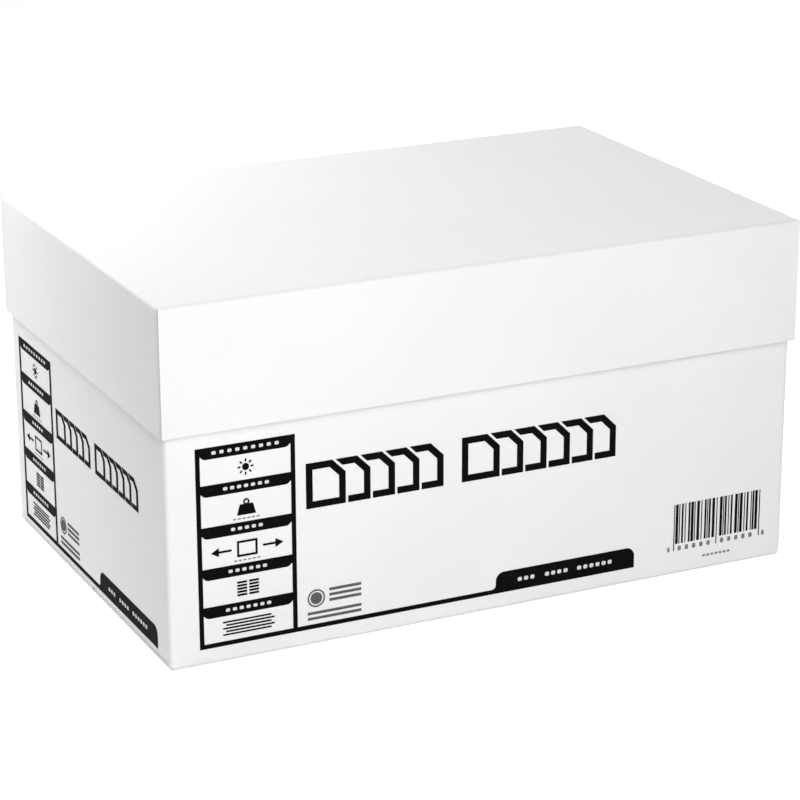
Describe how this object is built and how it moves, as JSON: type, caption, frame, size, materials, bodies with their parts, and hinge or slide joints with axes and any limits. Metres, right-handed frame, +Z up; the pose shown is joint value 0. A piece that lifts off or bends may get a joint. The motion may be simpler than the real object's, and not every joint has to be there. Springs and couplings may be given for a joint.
{
  "type": "copy paper carton",
  "caption": "White board carton with a lift-off lid, printed with plain marks on two sides and packed with wrapped reams of letter paper.",
  "frame": {"origin": "centre of the carton's footprint, on the surface that it stands on", "axes": "+X along the long sides, towards the plain short face; -Y is the printed long front; +Z up"},
  "size_m": [0.4492, 0.2964, 0.2365],
  "materials": {
    "base_board": "satin white liner, pale raw edges",
    "lid_board": "satin white liner, pale raw edges",
    "ream_wrapper": "smooth white wrapper paper",
    "ink": "flat black printing ink"
  },
  "bodies": {
    "base": {"carton_base": "base_board", "front_print": "ink", "end_print": "ink", "ream_left_1": "ream_wrapper", "ream_left_2": "ream_wrapper", "ream_left_3": "ream_wrapper", "ream_left_4": "ream_wrapper", "ream_left_5": "ream_wrapper", "ream_right_1": "ream_wrapper", "ream_right_2": "ream_wrapper", "ream_right_3": "ream_wrapper", "ream_right_4": "ream_wrapper", "ream_right_5": "ream_wrapper"},
    "lid": {"carton_lid": "lid_board"}
  },
  "joints": [
    {"name": "lid_lift", "type": "slide", "parent": "base", "child": "lid", "axis": [0, 0, 1], "range_m": [0, 0.15]}
  ]
}
